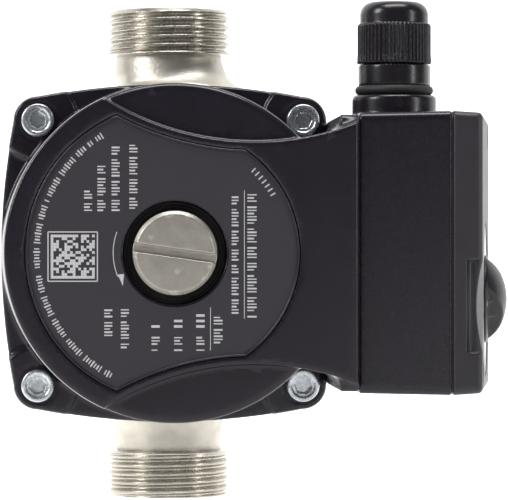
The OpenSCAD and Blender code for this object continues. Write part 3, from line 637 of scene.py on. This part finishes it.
def make_marks():
    print_quads = square_code(-25.3, -0.9, 12.2)
    # the turning arrow beside the plug
    print_quads += stroke(arc(15.3, 160, 203, 24), 0.2)
    print_quads.append([(-14.6, -5.4), (-13.9, -5.9), (-12.9, -8.2), (-12.6, -5.2)][::-1])
    # rating lines, above and below the plug
    lines = [
        (-10.3, 27.4, 10.2, 2.0), (-14.7, 26.9, 10, 2.0), (-18.2, 22.2, 10, 2.0), (-21.5, 16, 10, 2.0),
        (-12.4, -13.3, -23.8, 2.0), (-16.5, -13.4, -20.6, 2.0), (10.7, -15.2, -22.5, 2.2),
        (14.9, 14.6, -15.2, 1.7), (19.1, 15.2, -16.2, 2.3),
    ]
    for n, (at, start, end, height) in enumerate(lines):
        print_quads += plain_lines(at, start, end, height, n)
    print_quads += [block(17.2, -0.4, 0.16, 31.8), block(8.8, -18.8, 0.16, 10.6)]
    # one, two and three bars for the speeds, each with its rating beside it
    for count, u in ((1, -4.8), (2, 0.8), (3, 6.3)):
        for i in range(count):
            print_quads.append(block(u, -18.2 + i * 1.35, 2.1, 0.62))
        print_quads += plain_lines(u, -20.2, -24.4, 2.0, count)
    # a line of small bars round the left edge
    for n, degrees in enumerate(np.arange(122, 243, 1.28)):
        if n % 8 in (3,) or n % 23 == 6:
            continue
        a = math.radians(degrees)
        tall = 0.62 if n % 3 else 0.85
        ends = [(r * math.cos(a), r * math.sin(a)) for r in (34.2 - tall, 34.2 + tall)]
        print_quads += stroke(ends, 0.3 + 0.12 * (n % 2))
    # a short line near the right corner
    for n in range(7):
        a = math.radians(46.5 - n * 2.6)
        print_quads += stroke([(r * math.cos(a), r * math.sin(a)) for r in (27.6, 29.0)], 0.34)
    show(stamp("plate_print", print_quads, on_plate, -0.1, 0.03), "pump", "print")


# ------------------------------------------------------------------ pump body


def casting_field(x, y, z):
    u, v, d = x, z - AXIS_Z, -y
    rho = radius(u, v)
    pipe = radius(x, y)
    back = bar(rho - 38.5, d, -2, JOINT_FACE, 7)
    back = join(back, bar(rho - 23, d, -27, 6, 4), 3)
    f = join(back, bar(flange_outline(u, v, 0.8), d, 9, JOINT_FACE, 1), 2)
    lower = bar(pipe - NECK_R, z, THREAD_LEN - 1, 30, 1)
    lower = join(lower, segment(x, y, z, (0, 0, 19), INLET_BULGE_END, NECK_R), 3)
    upper = bar(pipe - NECK_R, z, 112, 2 * AXIS_Z - THREAD_LEN + 1, 1)
    upper = join(upper, segment(x, y, z, (0, 0, 111), OUTLET_END, NECK_R), 3)
    f = join(join(f, lower, 5), upper, 5)
    f = cut(f, bar(pipe - BORE_R, z, -1, INLET_TURN[2]))
    f = cut(f, bar(pipe - BORE_R, z, OUTLET_TURN[2], 200))
    f = cut(f, segment(x, y, z, INLET_TURN, INLET_END, 10))
    f = cut(f, segment(x, y, z, OUTLET_TURN, OUTLET_END, 10))
    f = cut(f, bar(rho - 19, d, -23, 0))
    f = cut(f, bar(rho - 17, d, -1, 7))
    f = cut(f, bar(rho - 31.5, d, 4.5, 30))
    f = cut(f, bar(rho - 40.7, d, 14.5, 30))
    f = cut(f, bar(at_screws(u, v) - 2.5, d, 10, 30))
    return np.maximum(f, d - JOINT_FACE)


def port_sleeve(name, flip):
    """A port's mouth with its helical thread, from the sealing face to the run-out."""
    turns, rows = 120, 150
    z = np.linspace(0, THREAD_LEN + 1.5, rows)
    a = np.arange(turns) * 2 * math.pi / turns
    phase = (z[:, None] / THREAD_PITCH - a / (2 * math.pi)) % 1
    slope = np.clip((np.abs(phase - 0.5) - 0.1) / 0.27, 0, 1)
    depth = 1.25 * (1 - slope)
    fade = np.clip((THREAD_LEN - 0.3 - z[:, None]) / 0.9, 0, 1)
    r = THREAD_R - depth * fade
    r = np.minimum(r, THREAD_R - 1.1 + z[:, None])
    run_out = np.clip((z[:, None] - THREAD_LEN) / 0.6, 0, 1)
    r = r * (1 - run_out) + (NECK_R - 0.3) * run_out
    outside = np.stack([r * np.cos(a), r * np.sin(a), np.broadcast_to(z[:, None], r.shape)], 2)
    ring = np.stack([np.cos(a), np.sin(a), np.zeros(turns)], 1)
    mouth = [ring * (BORE_R + 0.5), ring * BORE_R + (0, 0, 0.5), ring * BORE_R + (0, 0, THREAD_LEN + 1.5)]
    rings = np.concatenate([mouth[::-1], outside])
    points = rings.reshape(-1, 3)
    n = len(rings)
    faces = []
    for i in range(n):
        k = (i + 1) % n
        for j in range(turns):
            m = (j + 1) % turns
            faces.append((i * turns + j, k * turns + j, k * turns + m, i * turns + m))
    if flip:
        points = points * (1, -1, -1) + (0, 0, 2 * AXIS_Z)
    return new_object(name, points, [f[::-1] for f in faces])


def make_pump_body():
    low, high = (-45, -JOINT_FACE, THREAD_LEN - 1), (45, 28, 2 * AXIS_Z - THREAD_LEN + 1)
    show(solid("casting", casting_field, low, high, 0.55, 0.4), "pump", "cast_nickel", ["pump_body"])
    for name, flip in (("lower_port", False), ("upper_port", True)):
        show(port_sleeve(name, flip), "pump", "thread_nickel")


# ------------------------------------------------------------------ vent plug and screws


def plug_field(x, y, z):
    u, v, d = x, z - AXIS_Z, -y
    rho = radius(u, v)
    f = bar(rho - PLUG_R, d, PLUG_FACE - 4.8, PLUG_FACE, 0.15)
    f = np.maximum(f, (rho + d - PLUG_R - PLUG_FACE + 0.9) / math.sqrt(2))
    f = join(f, bar(rho - 7.95, d, -PLUG_HIGH[1], PLUG_FACE - 4, 0.3))
    turn = math.radians(8)
    across = v * math.cos(turn) + u * math.sin(turn)
    f = cut(f, bar(np.abs(across) - 1.1, d, PLUG_FACE - 1.6, 99), 0.15)
    return cut(f, bar(rho - 5.45, d, 0, -PLUG_HIGH[1] + 2.8))


def screw_field(x, y, z):
    """A socket screw on the Y axis, its head's seat at y = 0."""
    rho = radius(x, z)
    head = bar(rho - SCREW_HEAD_R, -y, 0, 5, 0.45)
    head = cut(head, bar(rho - 3.1, -y, 4.75, 9), 0.15)
    key = np.maximum(np.abs(x) * 0.5 + np.abs(z) * math.cos(math.radians(30)), np.abs(x)) - 2.0
    head = cut(head, bar(key, -y, 2.4, 9), 0.1)
    return join(head, bar(rho - 2.5, -y, -11, 1, 0.4))


# A dark ring laid over the bush at the bottom of the plug recess, which keeps the recess dark.
def recess_dark_ring_field(x, y, z):
    d = -y
    rho = radius(x, z - AXIS_Z)
    ring = bar(np.abs(rho - (PLUG_RECESS_R + 10.4) / 2) - (PLUG_RECESS_R - 10.4) / 2 + 0.03, d, 74.6, 75.4, 0.3)
    return join(ring, radius(rho - 11.6, d - 75.4) - 0.35, 0.2)


def make_plug_and_screws():
    low, high = (-13.2, -76.1, AXIS_Z - 13.2), (13.2, -74.2, AXIS_Z + 13.2)
    # the dark ring at the bottom of the plug recess
    show(solid("recess_dark_ring", recess_dark_ring_field, low, high, 0.25, 0.6), "pump", "rubber")
    low, high = PLUG_LOW - 0.2, PLUG_HIGH + 0.2
    show(solid("vent_plug_head", plug_field, low, high, 0.22, 0.5), "plug", "nickel", ["vent_plug"])
    first = solid("flange_screw_1", screw_field, (-4.3, -5, -4.3), (4.3, 11, 4.3), 0.2, 0.5)
    mesh = first.data
    for i, (su, sv) in enumerate([(-1, -1), (1, -1), (-1, 1), (1, 1)]):
        o = first if i == 0 else bpy.data.objects.new(f"flange_screw_{i + 1}", mesh)
        if i:
            bpy.context.scene.collection.objects.link(o)
        o.location = Vector((su * SCREW_AT, -LUG_FACE, AXIS_Z + sv * SCREW_AT)) * MM
        o.rotation_euler = (0, math.radians(17 + 23 * i), 0)
        show(o, "pump", "zinc", ["flange_screws"] if i == 0 else ())


# ------------------------------------------------------------------ terminal box


def at_box_points(y, v, points):
    return np.minimum(*[radius(y - BOX_Y - a, v - b) for a, b in points])


COVER_SCREWS = [(21, 30), (-21, -30)]


def box_field(x, y, z):
    v = z - AXIS_Z
    half = BOX_HALF_Z - 0.5 + (x - BOX_LOW[0]) * 0.5 / (BOX_HIGH[0] - BOX_LOW[0])
    a, b = np.abs(v) - half + 2, np.abs(y - BOX_Y) - BOX_HALF_Y + 2
    wall = np.minimum(np.maximum(a, b), 0) + radius(np.maximum(a, 0), np.maximum(b, 0)) - 2
    f = bar(wall, x, BOX_LOW[0], BOX_HIGH[0], 0.35)
    boss = radius(x - GLAND_X, y - BOX_Y)
    f = join(f, bar(boss - 10.75, v, BOX_HALF_Z - 3, 40.4, 1.2), 0.7)
    f = cut(f, bar(rect(v, y - BOX_Y, BOX_HALF_Z - 2.2, BOX_HALF_Y - 2.2, 1), x, 48.5, 99))
    posts = at_box_points(y, v, COVER_SCREWS)
    f = join(f, bar(posts - 3.6, x, BOX_LOW[0] + 1, BOX_HIGH[0]))
    f = cut(f, bar(boss - 7.9, v, BOX_HALF_Z - 4, 99))
    f = cut(f, bar(posts - 1.65, x, BOX_HIGH[0] - 14, 99))
    f = cut(f, bar(at_box_points(y, v, [(21, -27), (-22, 29.4)]) - 2.2, x, 0, 55))
    return cut(f, bar(radius(y + 69.5, v - 20) - 3.6, x, 40, 51))


def make_box():
    low, high = BOX_LOW - 0.3, BOX_HIGH + 0.3
    show(solid("box_shell", box_field, low, high, 0.45, 0.4), "pump", "box_plastic", ["terminal_box"])


def tilt_height(x, y):
    """Height above the cover's tilted outer face."""
    front_y = BOX_Y - BOX_HALF_Y
    return (x - COVER_FRONT_X) * math.cos(COVER_TILT) - (y - front_y) * math.sin(COVER_TILT)


def knob_frame():
    """The knob's axis and a point on the cover's outer face, in millimetres."""
    axis = np.array(SPEED_JOINT["axis"], float)
    at = np.array(SPEED_JOINT.get("pos_m", SPEED_JOINT.get("anchor_m", (0, 0, 0))), float) / MM
    axis = axis / np.linalg.norm(axis)
    axis = axis if axis[0] > 0 else -axis
    return at - axis * tilt_height(at[0], at[1]), axis


def around_knob(x, y, z):
    """Distance across and height along the knob's axis, and the two cross directions."""
    at, axis = knob_frame()
    dx, dy, dz = x - at[0], y - at[1], z - at[2]
    h = dx * axis[0] + dy * axis[1]
    across = -dx * axis[1] + dy * axis[0]
    return radius(across, dz), h, across, dz


def cover_field(x, y, z):
    v = z - AXIS_Z
    top = tilt_height(x, y)
    taper = (x - COVER_LOW[0]) * 0.06
    a, b = np.abs(v) - BOX_HALF_Z + taper + 2, np.abs(y - BOX_Y) - BOX_HALF_Y + taper + 2
    wall = np.minimum(np.maximum(a, b), 0) + radius(np.maximum(a, 0), np.maximum(b, 0)) - 2
    f = rounded(wall, top, 1.3)
    f = rounded(f, COVER_LOW[0] - x, 0.3)
    posts = at_box_points(y, v, COVER_SCREWS)
    room = np.maximum(rect(v, y - BOX_Y, BOX_HALF_Z - 2, BOX_HALF_Y - 2, 1), top + 2)
    dish = dish_field(x, y, z)
    room = cut(cut(room, posts - 4.6), dish + 2)
    f = cut(f, room)
    f = cut(f, dish, 0.3)
    groove = bar(radius(x - 74.4, y - (BOX_Y - BOX_HALF_Y)) - 1.6, v + 13.3, -11.5, 11.5, 0.2)
    f = cut(f, groove, 0.3)
    f = cut(f, posts - 1.8)
    f = cut(f, bar(posts - 3.3, x, 71.5, 99), 0.3)
    rho, h, _, _ = around_knob(x, y, z)
    f = cut(f, rho - 5.5)
    return cut(f, bar(rho - DIAL_R, h, -0.6, 20), 0.15)


def dish_field(x, y, z):
    tilt = math.radians(20)
    front_y = BOX_Y - BOX_HALF_Y
    across = (x - 74.7) * math.cos(tilt) - (y - front_y) * math.sin(tilt) - 38.7
    return radius(across, z - AXIS_Z + 13.3) - 38.7


def knob_field(x, y, z):
    rho, h, a, b = around_knob(x, y, z)
    at = KNOB_H - 15
    dome = radius(rho, h - at) - 15
    f = rounded(rho - KNOB_R, dome, 0.5)
    turn = math.radians(47)
    along = a * math.cos(turn) + b * math.sin(turn)
    sides = bar(5.2 - np.abs(along), h, 0.55, 30)
    f = cut(f, sides, 0.5)
    f = np.maximum(f, -0.25 - h)
    f = join(f, bar(rho - 3.4, h, -4.5, 0.2))
    return cut(f, bar(rho - 2.7, h, -9, -0.5))


def make_cover():
    low, high = COVER_LOW - 0.3, COVER_HIGH + 0.3
    show(
        solid("cover_shell", cover_field, low, high, 0.4, 0.45),
        "cover", "cover_plastic", ["terminal_cover"],
    )
    low, high = box_mm("speed_knob")
    show(solid("knob_shell", knob_field, low - 0.3, high + 0.3, 0.25, 0.5), "knob", "knob_plastic", ["speed_knob"])


DIGITS = {
    1: [(-0.4, 0.6), (0, 1), (0, -1)],
    2: [(-0.55, 0.55), (-0.3, 0.95), (0.3, 0.95), (0.55, 0.6), (0.5, 0.2), (-0.55, -0.95), (0.65, -0.95)],
    3: [(-0.5, 0.7), (-0.2, 1), (0.3, 1), (0.55, 0.65), (0.4, 0.2), (0, 0.05), (0.5, -0.15), (0.6, -0.6),
        (0.3, -0.95), (-0.2, -0.95), (-0.55, -0.65)],
}


def on_dial(a, b, h):
    """A point of the dial, a across the cover and b up it, h above the dial's face."""
    at, axis = knob_frame()
    across = np.array([-axis[1], axis[0], 0])
    return at + axis * (DIAL_FACE + h) + across * a + np.array([0, 0, b])


def turned(points, degrees, scale, shift=(0, 0)):
    c, s = math.cos(math.radians(degrees)), math.sin(math.radians(degrees))
    return [((x * c - y * s) * scale + shift[0], (x * s + y * c) * scale + shift[1]) for x, y in points]


def make_dial_marks():
    quads = []
    for digit, angle in ((1, 205), (2, 170), (3, 135)):
        centre = arc(14.3, angle, angle, 1)[0]
        quads += stroke(turned(DIGITS[digit], angle - 180, 1.5, centre), 0.55)
    # a band that widens with the speed
    steps = np.linspace(215, 125, 31)
    for a, b in zip(steps, steps[1:]):
        wide = [0.35 + 1.7 * (215 - t) / 90 for t in (a, b)]
        quads.append([arc(17.0, a, a, 1)[0], arc(17.0, b, b, 1)[0], arc(17.0 + wide[1], b, b, 1)[0],
                      arc(17.0 + wide[0], a, a, 1)[0]])
    show(stamp("dial_print", [q[::-1] for q in quads], on_dial, -0.15, 0.03), "cover", "ink")
    pointer = [(-1.0, 0), (0, 0.5), (1.0, 0), (0, -2.4)]
    knob_quads = [turned(pointer, 187 + 90, 1.0, arc(8.0, 187, 187, 1)[0])]
    show(stamp("knob_pointer", knob_quads, on_knob_step, -0.3, 0.06), "knob", "white_print")


def on_knob_step(a, b, h):
    """A point of the low step beside the knob's grip bar."""
    at, axis = knob_frame()
    across = np.array([-axis[1], axis[0], 0])
    return at + axis * (0.55 + h) + across * a + np.array([0, 0, b])


# ------------------------------------------------------------------ cable gland


def gland_nut_field(x, y, z):
    v = z - AXIS_Z
    dx, dy = x - GLAND_X, y - BOX_Y
    rho = radius(dx, dy)
    low, high = NUT_LOW[2] - AXIS_Z, NUT_HIGH[2] - AXIS_Z
    ribs = 0.2 * np.cos(GLAND_RIBS * np.arctan2(dy, dx))
    flare = 0.25 * np.clip((low + 2.5 - v) / 2.5, 0, 1)
    grip = bar(rho - 9.2 - ribs - flare * 0.6, v, low, 58.6, 0.5)
    dome = bar(rho - 8.75, v, 55, high, 3.4)
    f = join(grip, dome, 0.35)
    f = cut(f, bar(rho - 7.98, v, 0, 56.6))
    f = cut(f, bar(rho - 7.3, v, 56, 58.8))
    f = cut(f, np.maximum(rho - 7.4 + (v - 58.6) * 0.59, slab(v, 58.5, 62)))
    return cut(f, bar(rho - 5.4, v, 58, 99), 0.5)


def gland_body_field(x, y, z):
    v = z - AXIS_Z
    dx, dy = x - GLAND_X, y - BOX_Y
    rho = radius(dx, dy)
    low = GLAND_LOW[2] - AXIS_Z
    f = bar(rho - 7.9, v, low, 40.4, 0.3)
    f = join(f, bar(rho - 7.5, v, 39, 44, 0.1))
    collar = bar(rho - 9.1, v, 42.8, 48.1, 0.35)
    seam = bar(np.abs(dy) - 0.12, v, 42.8, 48.1)
    collar = join(collar, np.maximum(seam, rho - 9.25))
    f = join(f, collar)
    f = join(f, bar(rho - 7.9, v, 47, 55, 0.3))
    claws = bar(rho - 7, v, 54, GLAND_HIGH[2] - AXIS_Z, 0.3)
    turn = (np.arctan2(dy, dx) / (math.pi / 4) + 0.5) % 1 - 0.5
    slots = np.maximum(np.abs(turn) * math.pi / 4 * rho - 0.5, 56 - v)
    f = join(f, cut(claws, slots))
    return cut(f, rho - 5.6)


def make_gland():
    show(solid("gland_cap", gland_nut_field, NUT_LOW - 0.3, NUT_HIGH + 0.3, 0.2, 0.45), "gland_cap", "gland_plastic", ["gland_nut"])
    show(solid("gland_collar", gland_body_field, GLAND_LOW - 0.3, GLAND_HIGH + 0.3, 0.25, 0.45), "pump", "gland_plastic", ["gland_body"])


# ------------------------------------------------------------------ camera, light and floor


def make_camera():
    data = bpy.data.cameras.new("camera")
    data.lens = 263.3
    data.sensor_width = 36
    data.dof.use_dof = False
    data.clip_end = 20
    camera = bpy.data.objects.new("camera", data)
    bpy.context.scene.collection.objects.link(camera)
    camera.location = Vector((-19.4, -1000, 65)) * MM
    aim = Vector((22.97, 0, 65.8)) * MM - camera.location
    camera.rotation_euler = aim.to_track_quat("-Z", "Y").to_euler()
    bpy.context.scene.camera = camera


def area_light(name, at, aim, size, power, colour=(1, 1, 1)):
    data = bpy.data.lights.new(name, "AREA")
    data.shape = "RECTANGLE"
    data.size, data.size_y = size
    data.energy = power
    data.color = colour
    o = bpy.data.objects.new(name, data)
    bpy.context.scene.collection.objects.link(o)
    o.location = Vector(at)
    o.rotation_euler = (Vector(aim) - Vector(at)).to_track_quat("-Z", "Y").to_euler()


def make_studio():
    world = bpy.data.worlds.new("studio")
    world.use_nodes = True
    world.node_tree.nodes["Background"].inputs["Color"].default_value = (1, 1, 1, 1)
    world.node_tree.nodes["Background"].inputs["Strength"].default_value = 0.1
    bpy.context.scene.world = world
    bpy.context.scene.view_settings.view_transform = "Standard"
    middle = (0.02, -0.04, 0.065)
    area_light("key_left", (-0.9, -0.5, 0.6), middle, (0.3, 0.6), 8)
    area_light("strip_right", (1.0, -0.6, 0.3), middle, (0.12, 0.7), 3)
    area_light("top", (0.05, -0.2, 0.95), middle, (0.7, 0.3), 7)
    area_light("low_right", (0.21, -0.9, 0.012), (0.06, 0, 0.02), (0.1, 0.02), 0.07)
    profile = [(-3.0, 0.0), (0.6, 0.0)] + [
        (0.6 + 0.5 * math.sin(a), 0.5 - 0.5 * math.cos(a)) for a in np.linspace(0.1, math.pi / 2, 12)
    ] + [(1.1, 3.0)]
    points = [(x / MM, y / MM, (z - 0.0005) / MM) for x in (-3.0, 3.0) for y, z in profile]
    n = len(profile)
    floor = new_object("floor", points, [(i, n + i, n + i + 1, i + 1) for i in range(n - 1)])
    k = Look("floor_white", 0.6)
    k.colour(k.ramp(k.noise(0.002), [(0.3, (0.78, 0.78, 0.78)), (0.7, (0.82, 0.82, 0.82))]))
    k.p.inputs["Emission Color"].default_value = (1, 1, 1, 1)
    # the floor glows only behind the object, so that dark faces stay dark
    split = k.node("ShaderNodeSeparateXYZ")
    k.link(k.at, split.inputs[0])
    glow = k.node("ShaderNodeMapRange")
    for key, value in (("From Min", -0.1), ("From Max", -0.015), ("To Min", 0.0), ("To Max", 0.95)):
        glow.inputs[key].default_value = value
    k.link(split.outputs["Y"], glow.inputs["Value"])
    k.link(glow.outputs["Result"], k.p.inputs["Emission Strength"])
    floor.data.materials.append(k.m)


# ------------------------------------------------------------------ the whole object

make_camera()
make_studio()
for node_name, node_object in frame["nodes"].items():
    dress(node_object, SLOT_OF_NODE[node_name])
make_housing()
make_pump_body()
make_marks()
make_plug_and_screws()
make_box()
make_cover()
make_dial_marks()
make_gland()
